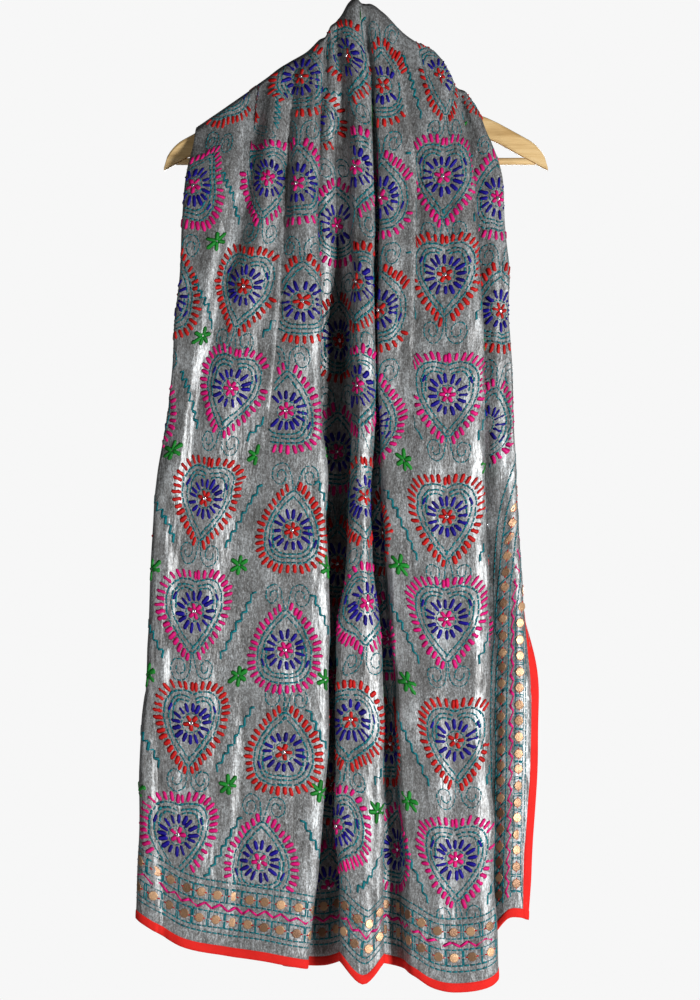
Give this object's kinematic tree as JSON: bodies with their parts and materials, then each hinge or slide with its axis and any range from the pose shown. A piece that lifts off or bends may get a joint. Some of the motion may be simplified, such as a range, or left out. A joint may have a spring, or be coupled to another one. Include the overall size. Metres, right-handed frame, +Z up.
{
  "type": "phulkari shawl on a wooden clothes hanger",
  "caption": "Embroidered grey tissue shawl with a red bound edge, draped in folds over the hook and arms of a wooden clothes hanger.",
  "frame": {"origin": "underside of the top of the hanger hook's bend, where a peg or rail bears", "axes": "+Z up, +X to the right of a viewer who faces the front fall, the front fall towards -Y and the back fall towards +Y"},
  "size_m": [0.4752, 0.1147, 1.1412],
  "materials": {
    "cloth": "grey tissue silk with a soft metallic sheen, crinkled, embroidered in red, pink, navy, teal and green thread",
    "binding": "matte red cotton strip",
    "wood": "pale beech, satin lacquer",
    "hook": "bright plated wire"
  },
  "bodies": {
    "root": {"cloth_front_fall": "cloth", "cloth_back_fall": "cloth", "binding_front_hem": "binding", "binding_front_left": "binding", "binding_front_right": "binding", "binding_back_hem": "binding", "binding_back_left": "binding", "binding_back_right": "binding", "hanger_arms": "wood", "hanger_bar": "wood", "hanger_hook": "hook"}
  },
  "joints": []
}
